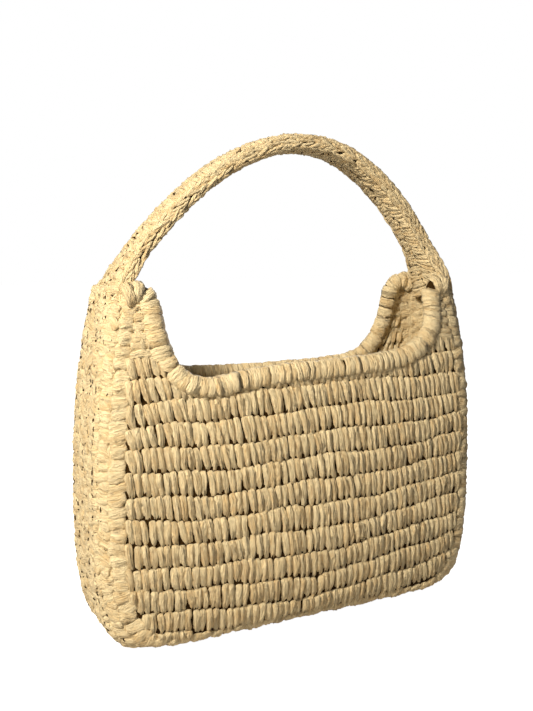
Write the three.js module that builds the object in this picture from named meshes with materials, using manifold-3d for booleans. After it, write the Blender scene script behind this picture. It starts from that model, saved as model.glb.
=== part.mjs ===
// Hobo bag crocheted from paper-straw yarn, as separate solids that a bag maker would recognise.
// Millimetres, +Z up, the front panel faces -Y. The origin is on the floor under the bag's middle.
import * as THREE from "three";
import { mergeVertices } from "three/addons/utils/BufferGeometryUtils.js";
import Module from "manifold-3d";

const wasm = await Module();
wasm.setup();

// ---- Driving dimensions ----
const gap = 0.3; // air between two solids that touch on the real bag
const wall = 5; // thickness of one layer of crochet

// Outline of the panels, seen from the front: flat base, round lower corners, sides that lean in.
const seamHeight = 6; // the joining seam runs this far above the floor
const flatHalf = 110; // half length of the straight part of the base
const widestHalf = 164; // half width from seam to seam where the bag is widest
const widestHeight = 100;
const cornerPower = 2.8; // squareness of the lower corners
const sideRun = 120; // height over which the side leans in by sideLean
const sideLean = 7;
const sidePower = 2.3;
const seamTop = 284; // the panels' ears end here, beside the strap
const gussetTop = 280;
const panelTop = 262; // above this the ear is all binding and seam

// Depth: seam to seam, the panels' belly and the gusset's outward bow.
const halfDepth = 46;
const taperStart = 150; // the gusset narrows towards the strap above this height
const taperRun = 139;
const taperDepth = 15;
const bellyDepth = 12;
const bellyHeight = 66; // the belly is fullest here
const bellyFade = 158; // and loses bellyLoss of its depth over this height
const bellyLoss = 0.55;
const bellyPower = 2.2;
const sideBow = 18; // how far the gusset stands out past the seams at the sides
const cornerBow = 8; // and how much further at the lower corners
const bowShoulder = 0.6; // share of the gusset's width that stays flat
const gussetInset = 1; // its edges stop this far short of the seam's centre line

// Mouth: the centre line of the bound edge, as x and z seen from the front.
const frontMouth = [
  [-132, 276], [-131, 260], [-125, 240], [-116, 222], [-104, 212], [-88, 209], [-60, 213],
  [-20, 216], [30, 217], [75, 219], [98, 222], [114, 229], [126, 239], [132, 251], [133, 263],
  [132, 276],
];
const backMouth = [
  [-132, 276], [-127, 250], [-117, 226], [-103, 212], [-80, 206], [-40, 204],
  [5, 203.5], [60, 204], [95, 207], [109, 212], [121, 224], [128, 240], [132, 254], [132.5, 265],
  [132, 276],
];
const bindingRadius = 7;
const cordRadius = 3.6; // filler cord inside the binding
const seamRadius = 5;
const seamInset = 2; // the seam's centre sits this far inside the outline

// How finely the solids are cut up: each tube's section has twice this number of sides.
const roomHalfSides = 5;
const wrapHalfSides = 4;
const cordHalfSides = 3;
const panelSteps = [24, 5]; // along the outline and from there to the mouth
const gussetSteps = [36, 5]; // along the band and across it
const seamSamples = 90;
const seamSteps = 40;
const mouthSamples = 48;
const mouthSteps = 26;
const strapSteps = 28;

// Strap: a flat crocheted tube over a woven tape, arched above the mouth.
const strapArch = [
  [-155, 280], [-145, 298], [-130, 319], [-107, 344], [-78, 370], [-46, 390], [-15, 402],
  [12, 405.5], [37, 403.5], [64, 394], [92, 375], [118, 349], [140, 319], [153, 296], [158, 280],
];
const strapWidth = 31;
const strapThickness = 14;
const bevelShare = 0.35; // of a bar's thickness, taken off its corners
const tapeWidth = 20;
const tapeThickness = 4;
const braidRadius = 3;
const braidOffset = 16.5; // from the strap's middle to the braid's middle
const foldHeight = 318; // the strap folds about a line along X at this height
const foldRadius = 20; // the strap's end is rounded about the fold line
const rootBottom = 285;
const rootTop = 297.5;
const cutLength = 500; // blocks that only cut: longer and deeper than the bag
const cutDepth = 100;

const straw = new THREE.MeshStandardMaterial({ color: 0xdfc58e, roughness: 0.8, metalness: 0 });
const cotton = new THREE.MeshStandardMaterial({ color: 0xe9e2d0, roughness: 0.9, metalness: 0 });

const bag = new THREE.Group();

// ---- Helpers ----
function add(name, geometry, material) {
  const mesh = new THREE.Mesh(geometry, material);
  mesh.name = name;
  bag.add(mesh);
}

function toSolid(geometry) {
  const bare = geometry.clone();
  bare.deleteAttribute("normal");
  bare.deleteAttribute("uv");
  const merged = mergeVertices(bare, 1e-3);
  const vertProperties = merged.getAttribute("position").array;
  const triVerts = new Uint32Array(merged.index.array);
  return new wasm.Manifold(new wasm.Mesh({ numProp: 3, vertProperties, triVerts }));
}

function toGeometry(solid) {
  const mesh = solid.getMesh();
  const geometry = new THREE.BufferGeometry();
  geometry.setAttribute("position", new THREE.BufferAttribute(mesh.vertProperties, 3));
  geometry.setIndex(new THREE.BufferAttribute(mesh.triVerts, 1));
  geometry.computeVertexNormals();
  return geometry;
}

// A flat plate bent to shape: pointAt(along, side, across) gives the place of each of its corners,
// with all three from 0 to 1, and side going through the plate's thickness.
function bentPlate(alongSteps, acrossSteps, pointAt) {
  const plate = new THREE.BoxGeometry(1, 1, 1, alongSteps, 1, acrossSteps);
  const corners = plate.getAttribute("position");
  for (let i = 0; i < corners.count; i += 1) {
    const spot = pointAt(corners.getX(i) + 0.5, corners.getY(i) + 0.5, corners.getZ(i) + 0.5);
    corners.setXYZ(i, spot.x, spot.y, spot.z);
  }
  return plate;
}

// A round cord along a list of points.
function roundCord(points, radius, steps, halfSides) {
  const section = new THREE.Shape().absarc(0, 0, radius, 0, 2 * Math.PI);
  return new THREE.ExtrudeGeometry(section, {
    steps,
    curveSegments: halfSides,
    extrudePath: new THREE.CatmullRomCurve3(points, false, "centripetal"),
    bevelEnabled: false,
  });
}

// The same points with both ends drawn out a little, so that what this cuts is cut right through.
function longer(points) {
  const overrun = 2;
  const last = points.length - 1;
  const start = points[0].clone().sub(points[1]).setLength(overrun).add(points[0]);
  const end = points[last].clone().sub(points[last - 1]).setLength(overrun).add(points[last]);
  return [start, ...points, end];
}

// ---- The bag's shape as formulas ----
function halfWidthAt(z) {
  if (z >= widestHeight) {
    return widestHalf - sideLean * ((z - widestHeight) / sideRun) ** sidePower;
  }
  const drop = (widestHeight - z) / (widestHeight - seamHeight);
  return flatHalf + (widestHalf - flatHalf) * (1 - drop ** cornerPower) ** (1 / cornerPower);
}

function halfDepthAt(z) {
  const rise = Math.max(0, (z - taperStart) / taperRun);
  return halfDepth - taperDepth * rise ** 2;
}

function bellyAt(x, z) {
  const share = Math.min(1, Math.abs(x) / halfWidthAt(Math.max(z, seamHeight)));
  const low = Math.sqrt(THREE.MathUtils.clamp((z - seamHeight) / (bellyHeight - seamHeight), 0, 1));
  const high = 1 - bellyLoss * Math.max(0, (z - bellyHeight) / bellyFade) ** 2;
  return bellyDepth * (1 - share ** bellyPower) * low * high;
}

// The outline as a curve from the left ear, down the side, along the base and up to the right ear.
class PanelOutline extends THREE.Curve {
  constructor(top) {
    super();
    this.top = top;
  }

  getPoint(share, target = new THREE.Vector3()) {
    const side = share < 0.5 ? -1 : 1;
    const climb = Math.abs(share - 0.5) * 2; // 0 at the middle of the base, 1 at the ear
    const [baseShare, cornerShare] = [0.26, 0.56];
    if (climb < baseShare) {
      return target.set((side * flatHalf * climb) / baseShare, 0, seamHeight);
    }
    if (climb < cornerShare) {
      const turn = ((climb - baseShare) / (cornerShare - baseShare)) * (Math.PI / 2);
      const out = Math.sin(turn) ** (2 / cornerPower);
      const down = Math.cos(turn) ** (2 / cornerPower);
      const x = flatHalf + (widestHalf - flatHalf) * out;
      return target.set(side * x, 0, widestHeight - (widestHeight - seamHeight) * down);
    }
    const z = THREE.MathUtils.lerp(widestHeight, this.top, (climb - cornerShare) / (1 - cornerShare));
    return target.set(side * halfWidthAt(z), 0, z);
  }
}

// ---- Panels ----
function mouthCurve(points) {
  const spots = points.map(([x, z]) => new THREE.Vector3(x, 0, z));
  return new THREE.CatmullRomCurve3(spots, false, "centripetal");
}

// A point of the mouth's or panel's middle surface: facing is -1 on the front and 1 on the back.
function onPanel(x, z, facing) {
  return new THREE.Vector3(x, facing * (halfDepthAt(z) + bellyAt(x, z) - wall / 2), z);
}

function mouthPath(points, facing) {
  const spots = mouthCurve(points).getSpacedPoints(mouthSamples);
  return spots.map((spot) => onPanel(spot.x, spot.z, facing));
}

function outwardAt(outline, share) {
  const step = 0.002;
  const before = outline.getPointAt(Math.max(0, share - step));
  const run = outline.getPointAt(Math.min(1, share + step)).sub(before).normalize();
  return new THREE.Vector3(run.z, 0, -run.x);
}

function seamPath(facing) {
  const outline = new PanelOutline(seamTop);
  const points = [];
  for (let i = 0; i <= seamSamples; i += 1) {
    const share = i / seamSamples;
    const spot = outline.getPointAt(share);
    spot.addScaledVector(outwardAt(outline, share), -seamInset);
    points.push(spot.setY(facing * halfDepthAt(spot.z)));
  }
  return points;
}

// What the seam's cord takes out of the layers that it joins.
function roomForSeam(facing) {
  const room = roundCord(longer(seamPath(facing)), seamRadius + 2 * gap, seamSteps, roomHalfSides);
  return toSolid(room);
}

function panel(mouth, facing) {
  const outline = new PanelOutline(panelTop);
  const rim = mouthCurve(mouth);
  const edgeInset = wall + 2 * gap; // clear of the gusset's edge
  const plate = bentPlate(...panelSteps, (along, side, across) => {
    const edge = outline.getPointAt(along);
    edge.addScaledVector(outwardAt(outline, along), -edgeInset);
    const spot = edge.lerp(rim.getPointAt(along), across);
    const reach = halfDepthAt(spot.z) + bellyAt(spot.x, spot.z);
    const depth = facing < 0 ? -reach + wall * side : reach - wall + wall * side;
    return spot.setY(depth);
  });
  const rimPath = longer(mouthPath(mouth, facing));
  const rimRoom = toSolid(roundCord(rimPath, bindingRadius + 2 * gap, mouthSteps, wrapHalfSides));
  return toGeometry(toSolid(plate).subtract(roomForSeam(facing)).subtract(rimRoom));
}

add("front_panel", panel(frontMouth, -1), straw);
add("back_panel", panel(backMouth, 1), straw);

// ---- Gusset: one band that makes both sides and the base ----
function gusset() {
  const outline = new PanelOutline(gussetTop);
  const band = bentPlate(...gussetSteps, (along, side, across) => {
    const spot = outline.getPointAt(along);
    const outward = outwardAt(outline, along);
    const share = across * 2 - 1;
    const shoulder = Math.max(0, (Math.abs(share) - bowShoulder) / (1 - bowShoulder));
    const corner = cornerBow * (2 * outward.x * outward.z) ** 2;
    const bow = new THREE.Vector3(sideBow * outward.x, 0, seamHeight * outward.z);
    bow.addScaledVector(outward, corner);
    spot.addScaledVector(bow, 1 - shoulder ** 2);
    spot.addScaledVector(outward, wall * (side - 1));
    return spot.setY(share * (halfDepthAt(spot.z) - gussetInset));
  });
  return toGeometry(toSolid(band).subtract(roomForSeam(-1)).subtract(roomForSeam(1)));
}

add("gusset", gusset(), straw);

// ---- Joining seams: the raised columns of wraps between panel and gusset ----
add("front_seam", roundCord(seamPath(-1), seamRadius, seamSteps, cordHalfSides), straw);
add("back_seam", roundCord(seamPath(1), seamRadius, seamSteps, cordHalfSides), straw);

// ---- Mouth bindings: raffia wound round a filler cord ----
function binding(mouth, facing) {
  const path = mouthPath(mouth, facing);
  const wrapped = toSolid(roundCord(path, bindingRadius, mouthSteps, wrapHalfSides));
  const hollow = toSolid(roundCord(longer(path), cordRadius + 3 * gap, mouthSteps, cordHalfSides));
  return toGeometry(wrapped.subtract(hollow));
}

function fillerCord(mouth, facing) {
  return roundCord(mouthPath(mouth, facing), cordRadius, mouthSteps, cordHalfSides);
}

add("front_mouth_binding", binding(frontMouth, -1), straw);
add("back_mouth_binding", binding(backMouth, 1), straw);
add("front_mouth_cord", fillerCord(frontMouth, -1), cotton);
add("back_mouth_cord", fillerCord(backMouth, 1), cotton);

// ---- Strap ----
function strapLine(sideways) {
  const points = strapArch.map(([x, z]) => new THREE.Vector3(x, sideways, z));
  return new THREE.CatmullRomCurve3(points, false, "centripetal");
}

function bevelledBar(width, thickness) {
  const [w, t] = [width / 2, thickness / 2];
  const corner = thickness * bevelShare;
  const bar = new THREE.Shape();
  bar.moveTo(-w, -t + corner);
  bar.lineTo(-w + corner, -t);
  bar.lineTo(w - corner, -t);
  bar.lineTo(w, -t + corner);
  bar.lineTo(w, t - corner);
  bar.lineTo(w - corner, t);
  bar.lineTo(-w + corner, t);
  bar.lineTo(-w, t - corner);
  return bar;
}

function alongStrap(section, sideways = 0) {
  const extrudePath = strapLine(sideways);
  const options = { steps: strapSteps, curveSegments: 2, extrudePath, bevelEnabled: false };
  return toSolid(new THREE.ExtrudeGeometry(section, options));
}

function blockBetween(low, high) {
  const block = new THREE.BoxGeometry(cutLength, cutDepth, high - low);
  return toSolid(block.translate(0, 0, (low + high) / 2));
}

// Everything under the fold line except a round end, so the strap can turn there.
function belowFold() {
  const sides = 24;
  const roundEnd = new THREE.CylinderGeometry(foldRadius, foldRadius, cutLength, sides);
  roundEnd.rotateZ(Math.PI / 2);
  roundEnd.translate(0, 0, foldHeight);
  return blockBetween(0, foldHeight).subtract(toSolid(roundEnd));
}

const strapTube = alongStrap(bevelledBar(strapWidth, strapThickness));
const tapeRoom = alongStrap(bevelledBar(tapeWidth + 2 * gap, tapeThickness + 2 * gap));
const tape = alongStrap(bevelledBar(tapeWidth, tapeThickness));

function braid(radius, facing) {
  const section = new THREE.Shape().absarc(0, 0, radius, 0, 2 * Math.PI);
  return alongStrap(section, facing * braidOffset);
}

const braidRooms = braid(braidRadius + gap, -1).add(braid(braidRadius + gap, 1));
const strapBody = strapTube.subtract(tapeRoom).subtract(braidRooms);
const lowerPart = belowFold();

add("strap", toGeometry(strapBody.subtract(lowerPart)), straw);
add("strap_tape", toGeometry(tape.subtract(lowerPart)), cotton);
add("strap_front_braid", toGeometry(braid(braidRadius, -1).subtract(lowerPart)), straw);
add("strap_back_braid", toGeometry(braid(braidRadius, 1).subtract(lowerPart)), straw);

// The strap's two lower ends, which stay with the bag when the strap folds.
function strapRoot(side) {
  const halfBlock = new THREE.BoxGeometry(cutLength / 2, cutDepth, rootTop - rootBottom);
  halfBlock.translate((side * cutLength) / 4, 0, (rootTop + rootBottom) / 2);
  return toGeometry(strapTube.intersect(toSolid(halfBlock)));
}

add("left_strap_root", strapRoot(-1), straw);
add("right_strap_root", strapRoot(1), straw);

export default bag;
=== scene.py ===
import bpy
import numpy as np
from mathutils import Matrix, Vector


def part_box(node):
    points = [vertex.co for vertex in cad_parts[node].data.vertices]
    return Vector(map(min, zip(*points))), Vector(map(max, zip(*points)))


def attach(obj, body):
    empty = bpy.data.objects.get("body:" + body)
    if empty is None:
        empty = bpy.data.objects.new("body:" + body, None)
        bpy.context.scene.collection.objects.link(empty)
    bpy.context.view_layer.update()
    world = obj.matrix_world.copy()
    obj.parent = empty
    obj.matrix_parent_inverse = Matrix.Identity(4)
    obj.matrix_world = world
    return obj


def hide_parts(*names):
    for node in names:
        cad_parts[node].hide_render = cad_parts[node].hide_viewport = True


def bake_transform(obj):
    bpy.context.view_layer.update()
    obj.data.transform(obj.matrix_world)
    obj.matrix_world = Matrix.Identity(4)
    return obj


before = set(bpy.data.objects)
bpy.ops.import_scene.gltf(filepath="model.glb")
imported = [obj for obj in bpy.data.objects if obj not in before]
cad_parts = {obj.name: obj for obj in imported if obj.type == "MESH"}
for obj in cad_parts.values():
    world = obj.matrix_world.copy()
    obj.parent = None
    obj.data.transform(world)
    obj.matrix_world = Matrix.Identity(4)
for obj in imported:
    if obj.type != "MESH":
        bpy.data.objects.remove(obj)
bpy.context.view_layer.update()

# %% [markdown]
# # A hobo bag crocheted from paper straw
# The real bag is one long yarn: wood-pulp paper cut into ribbon, folded and lightly twisted, then
# worked with a thick hook. Nothing on it is smooth cloth. What the eye sees is thousands of short
# fat strands, each one a stitch. So this lesson first writes the bag's shape as formulas, then lays
# stitches on that shape one by one, as the hook does, and only then makes the straw's surface.
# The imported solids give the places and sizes, and each of them gets a visible piece that replaces it.

MM = 0.001  # the shapes below are worked out in millimetres

# %% [markdown]
# ## The shape of the bag
# A crocheted bag has no straight edges. The panels' outline has a flat base, round lower corners
# and sides that lean in a little; the panels have a belly; the band between them bows outward and
# gets narrower towards the strap. Each of these is one short formula of height, so that every
# stitch can ask where the surface is. The formulas are those of the solids.

# %% Driving dimensions
seam_node_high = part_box("front_seam")[1]
SEAM_HEIGHT = 6.0  # the joining seam runs this far above the floor
FLAT_HALF = 110.0  # half length of the straight part of the base
WIDEST_HALF = 164.0  # half width from seam to seam
WIDEST_HEIGHT = 100.0
CORNER_POWER = 2.8
SIDE_RUN, SIDE_LEAN, SIDE_POWER = 120.0, 7.0, 2.3
HALF_DEPTH = 46.0  # from the middle of the bag to a seam
TAPER_START, TAPER_RUN, TAPER_DEPTH = 150.0, 139.0, 15.0
BELLY_DEPTH, BELLY_HEIGHT, BELLY_FADE, BELLY_LOSS, BELLY_POWER = 12.0, 66.0, 158.0, 0.55, 2.2
SIDE_BOW = 18.0  # how far the band stands out past the seams
CORNER_BOW = 8.0  # and how much further at the lower corners
BOW_SHOULDER = 0.6  # share of the band's width that stays flat
WALL = 5.0  # one layer of crochet
EAR_TOP = 284.0
FLOOR_GAP = 0.4  # what stands on the floor is flattened just above it


# %% The panels' outline and depth
def half_width_at(z):
    """Half width of a panel at height z."""
    z = np.asarray(z, float)
    upper = WIDEST_HALF - SIDE_LEAN * (np.maximum(z - WIDEST_HEIGHT, 0) / SIDE_RUN) ** SIDE_POWER
    drop = np.clip((WIDEST_HEIGHT - z) / (WIDEST_HEIGHT - SEAM_HEIGHT), 0, 1)
    corner = (1 - drop**CORNER_POWER) ** (1 / CORNER_POWER)
    return np.where(z >= WIDEST_HEIGHT, upper, FLAT_HALF + (WIDEST_HALF - FLAT_HALF) * corner)


def half_depth_at(z):
    """From the middle plane to a seam at height z."""
    rise = np.maximum(0, (np.asarray(z, float) - TAPER_START) / TAPER_RUN)
    return HALF_DEPTH - TAPER_DEPTH * rise**2


def belly_at(x, z):
    """How far a panel bulges past its seams."""
    share = np.clip(np.abs(x) / half_width_at(np.maximum(z, SEAM_HEIGHT)), 0, 1)
    low = np.sqrt(np.clip((z - SEAM_HEIGHT) / (BELLY_HEIGHT - SEAM_HEIGHT), 0, 1))
    high = 1 - BELLY_LOSS * np.maximum(0, (z - BELLY_HEIGHT) / BELLY_FADE) ** 2
    return BELLY_DEPTH * (1 - share**BELLY_POWER) * low * high


print("widest half width", float(half_width_at(WIDEST_HEIGHT)), "mm; the seam's box reaches",
      round(seam_node_high.x / MM, 1), "mm")


# %% The outline as one line, measured along its length
def outline_points(steps=1200):
    """x and z from the left ear, down the side, along the base and up to the right ear."""
    side_z = np.linspace(EAR_TOP + 6, WIDEST_HEIGHT, steps // 4)
    turn = np.linspace(np.pi / 2, 0, steps // 4)
    corner_x = FLAT_HALF + (WIDEST_HALF - FLAT_HALF) * np.sin(turn) ** (2 / CORNER_POWER)
    corner_z = WIDEST_HEIGHT - (WIDEST_HEIGHT - SEAM_HEIGHT) * np.cos(turn) ** (2 / CORNER_POWER)
    left = np.concatenate([
        np.stack([-half_width_at(side_z), side_z], 1),
        np.stack([-corner_x, corner_z], 1)[1:],
        np.array([[-FLAT_HALF / 2, SEAM_HEIGHT], [0, SEAM_HEIGHT]]),
    ])
    right = left[::-1][1:] * [-1, 1]
    return np.concatenate([left, right])


def evenly(points, step):
    """The same line with its points step apart, and their distance along it."""
    runs = np.linalg.norm(np.diff(points, axis=0), axis=1)
    keep = np.concatenate([[True], runs > 1e-6])
    points = points[keep]
    along = np.concatenate([[0], np.cumsum(np.linalg.norm(np.diff(points, axis=0), axis=1))])
    even = np.linspace(0, along[-1], max(2, int(along[-1] / step)))
    return np.stack([np.interp(even, along, c) for c in points.T], 1), even


OUTLINE, OUTLINE_ALONG = evenly(outline_points(), 1.0)
OUTLINE_LENGTH = OUTLINE_ALONG[-1]
tangent = np.gradient(OUTLINE, axis=0)
tangent /= np.linalg.norm(tangent, axis=1)[:, None]
OUTWARD = np.stack([tangent[:, 1], -tangent[:, 0]], 1)  # in the panel's plane, away from the bag
for _ in range(6):  # rounds off the small kinks where the formulas meet
    OUTWARD[1:-1] = (OUTWARD[:-2] + OUTWARD[1:-1] * 2 + OUTWARD[2:]) / 4
print("the outline is", round(OUTLINE_LENGTH), "mm long from ear to ear")


def on_outline(along):
    """x, z, and the outward direction's x and z, at a distance along the outline."""
    columns = np.concatenate([OUTLINE, OUTWARD], 1).T
    return [np.interp(along, OUTLINE_ALONG, c) for c in columns]


# %% [markdown]
# ## How a stitch is made
# A stitch here is a short bar of folded paper ribbon: fat in the middle, closed at its ends, with
# two or three folds of uneven depth running along it. The bars are made together as one array,
# because a bag has thousands of them. Each bar follows a path that lies on the bag's surface, so it
# bends as the surface does. Every corner also keeps where it sits within its own bar, and a random
# tone for the bar. The straw's grain later runs along each bar because of those two values.
# A closed layer and a closed tube make what lies behind or inside the stitches.

# %% Stations along a bar and corners round it
RINGS = 8  # between a bar's two tips
STATIONS = 0.5 - 0.5 * np.cos(np.pi * np.arange(RINGS + 2) / (RINGS + 1))  # 0 and 1 are the tips
# Angles round the section, in degrees from one side over the top; marked corners can fold inward.
FINE_SECTION = ([0, 30, 52, 68, 84, 100, 118, 136, 158, 182, 215, 245, 280, 320],
                [0, 0, 0, 1, 0, 1, 0, 1, 0, 0, 0, 0, 0, 0])
PLAIN_SECTION = ([0, 34, 62, 90, 118, 146, 180, 222, 270, 318],
                 [0, 0, 1, 0, 1, 0, 0, 0, 0, 0])
SLIT_SECTION = ([0, 45, 90, 135, 180, 270], [0] * 6)
ANGLE_NOISE, RADIUS_NOISE = 0.16, 0.085  # how uneven a section is: in radians, and as a share
GRAIN_SHIFT = 400.0  # each bar's grain starts somewhere else within this distance


def unit(vectors):
    """The same directions with length 1."""
    return vectors / np.maximum(np.linalg.norm(vectors, axis=-1, keepdims=True), 1e-9)


# %% The faces of bars
def bar_faces(count, rings, sides):
    """Four-cornered faces along count bars, and three-cornered ones round their tips. A bar's two
    tips are its corners 0 and 1."""
    ring, turn = np.meshgrid(np.arange(rings - 1), np.arange(sides), indexing="ij")
    a, b = ring * sides + turn, ring * sides + (turn + 1) % sides
    quads = np.stack([a, b, b + sides, a + sides], -1).reshape(-1, 4) + 2
    around = np.arange(sides)
    after = (around + 1) % sides
    top = 2 + (rings - 1) * sides
    first = np.stack([np.zeros(sides, int), after + 2, around + 2], -1)
    last = np.stack([np.ones(sides, int), around + top, after + top], -1)
    base = (np.arange(count) * (2 + rings * sides))[:, None, None]
    return (quads[None] + base).reshape(-1, 4), (np.concatenate([first, last])[None] + base).reshape(-1, 3)


# %% The bars themselves
def make_bars(paths, normals, half_width, half_thick, rng, section=PLAIN_SECTION, bluntness=3.0,
              head=0.0, fold=0.5, wobble=0.35, twist=0.6):
    """Corners, faces, places and tones of bars that follow paths, an array of bars by stations.
    bluntness makes the tips fuller, head makes a bar wider towards its first tip, fold is how deep
    its folds are, wobble how far it sways sideways in mm, and twist how far it turns in radians."""
    count, stations, _ = paths.shape
    angles, folds = (np.array(a, float) for a in section)
    sides = len(angles)
    t = STATIONS[None, :, None]
    run = unit(np.gradient(paths, axis=1))
    side = unit(np.cross(normals, run))
    up = unit(np.cross(run, side))
    swell = (1 - np.abs(2 * STATIONS - 1) ** bluntness) ** (1 / bluntness)
    lead = 1 + head * (0.5 - STATIONS)
    phase = rng.uniform(0, 2 * np.pi, (count, 1))
    ripple = 1 + 0.07 * np.sin(phase + 7 * STATIONS) + 0.04 * np.sin(2.7 * phase + 13 * STATIONS)
    width = half_width[:, None] * swell * lead * ripple
    thick = half_thick[:, None] * swell * (2 - ripple)
    slide = wobble * np.sin(1.7 * phase + 5 * STATIONS) * swell
    theta = np.radians(angles) + rng.uniform(-ANGLE_NOISE, ANGLE_NOISE, (count, 1, sides))
    theta = theta + rng.uniform(-twist, twist, (count, 1, 1)) * (t - 0.5)
    depth = rng.uniform(0.15, 1.0, (count, 1, sides)) * fold * folds
    depth = depth * (0.7 + 0.3 * np.sin(rng.uniform(0, 2 * np.pi, (count, 1, sides)) + 8 * t))
    radius = 1 - depth + rng.normal(0, RADIUS_NOISE, (count, stations, sides))
    across = np.cos(theta) * radius * width[:, :, None]
    above = np.sin(theta) * radius * thick[:, :, None]
    corners = (paths[:, :, None, :] + side[:, :, None, :] * (across + slide[:, :, None])[..., None]
               + up[:, :, None, :] * above[..., None])
    length = np.linalg.norm(np.diff(paths, axis=1), axis=2).sum(1)
    along = (length[:, None] * STATIONS)[:, :, None] + np.zeros_like(across)
    place = np.stack([across, above, along], -1) + rng.uniform(0, GRAIN_SHIFT, (count, 1, 1, 3))
    tone = np.broadcast_to(rng.uniform(0, 1, (count, 1, 1)), across.shape)
    # each tip is a single corner on the path, so every bar is closed
    body = corners[:, 1:-1].reshape(count, -1, 3)
    verts = np.concatenate([paths[:, :1], paths[:, -1:], body], 1)
    places = np.concatenate([place[:, :1, 0], place[:, -1:, 0], place[:, 1:-1].reshape(count, -1, 3)], 1)
    tones = np.concatenate([tone[:, :1, 0], tone[:, -1:, 0], tone[:, 1:-1].reshape(count, -1)], 1)
    quads, tris = bar_faces(count, stations - 2, sides)
    return {"verts": verts.reshape(-1, 3), "quads": quads, "tris": tris,
            "place": places.reshape(-1, 3), "tone": tones.reshape(-1)}


# %% Two strands to a stitch
def two_strands(starts, ends, widths, rng):
    """Each stitch as a broad strand and a narrow one beside it, which close up or cross a little
    towards the second end."""
    share = rng.uniform(0.52, 0.68, len(starts))
    flip = rng.choice([-1.0, 1.0], len(starts))
    made = [[], [], []]
    for part, offset in ((share, 1 - share), (1.12 - share, -share)):
        shift = flip * offset * widths
        close = shift * rng.uniform(0.1, 1.0, len(starts))
        slip = rng.normal(0, 0.5, (2, len(starts)))
        made[0].append(starts + np.stack([shift, slip[0]], 1))
        made[1].append(ends + np.stack([close, slip[1]], 1))
        made[2].append(widths * part * 1.08)
    return [np.concatenate(m) for m in made]


# %% A closed layer, for what lies behind the stitches
CORE_THICK = 1.4


def make_layer(points, normals, thickness):
    """A closed sheet of this thickness whose middle is a grid of points. Its faces point out where
    normals lie along the step to the next column crossed with the step to the next row."""
    rows, columns, _ = points.shape
    count = rows * columns
    both = [points + normals * thickness / 2, points - normals * thickness / 2]
    verts = np.concatenate([b.reshape(-1, 3) for b in both])
    r, c = np.meshgrid(np.arange(rows - 1), np.arange(columns - 1), indexing="ij")
    a = (r * columns + c).reshape(-1)
    upper = np.stack([a, a + 1, a + columns + 1, a + columns], -1)
    lower = upper[:, ::-1] + count
    index = np.arange(count).reshape(rows, columns)
    edge = np.concatenate([index[0, :-1], index[:-1, -1], index[-1, :0:-1], index[:0:-1, 0]])
    following = np.roll(edge, -1)
    rim = np.stack([following, edge, edge + count, following + count], -1)
    place = np.concatenate([points, points]).reshape(-1, 3)
    return {"verts": verts, "quads": np.concatenate([upper, lower, rim]),
            "tris": np.zeros((0, 3), int), "place": place, "tone": np.full(len(verts), 0.5)}


# %% A closed tube, for cords and for what lies inside them
def make_tube(rings, share):
    """A closed tube through rings of points, drawn in to this share of their size. Each ring's last
    point is its first one again."""
    middle = rings[:, :-1].mean(1, keepdims=True)
    skin = middle + (rings[:, :-1] - middle) * share
    steps, sides, _ = skin.shape
    verts = np.concatenate([skin.reshape(-1, 3), middle[0], middle[-1]])
    ring, turn = np.meshgrid(np.arange(steps - 1), np.arange(sides), indexing="ij")
    a, b = (ring * sides + turn).reshape(-1), (ring * sides + (turn + 1) % sides).reshape(-1)
    quads = np.stack([a, b, b + sides, a + sides], -1)
    around = np.arange(sides)
    after = (around + 1) % sides
    count, top = steps * sides, (steps - 1) * sides
    tris = np.concatenate([np.stack([np.full(sides, count), after, around], -1),
                           np.stack([np.full(sides, count + 1), around + top, after + top], -1)])
    inside_out = outward_volume(verts, quads) < 0
    return {"verts": verts, "quads": quads[:, ::-1] if inside_out else quads,
            "tris": tris[:, ::-1] if inside_out else tris,
            "place": verts, "tone": np.full(len(verts), 0.5)}


def outward_volume(verts, quads):
    """Above 0 where the faces point out."""
    a, b, c, d = (verts[quads[:, i]] for i in range(4))
    return float((np.cross(a, b) * c).sum() + (np.cross(a, c) * d).sum())


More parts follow.
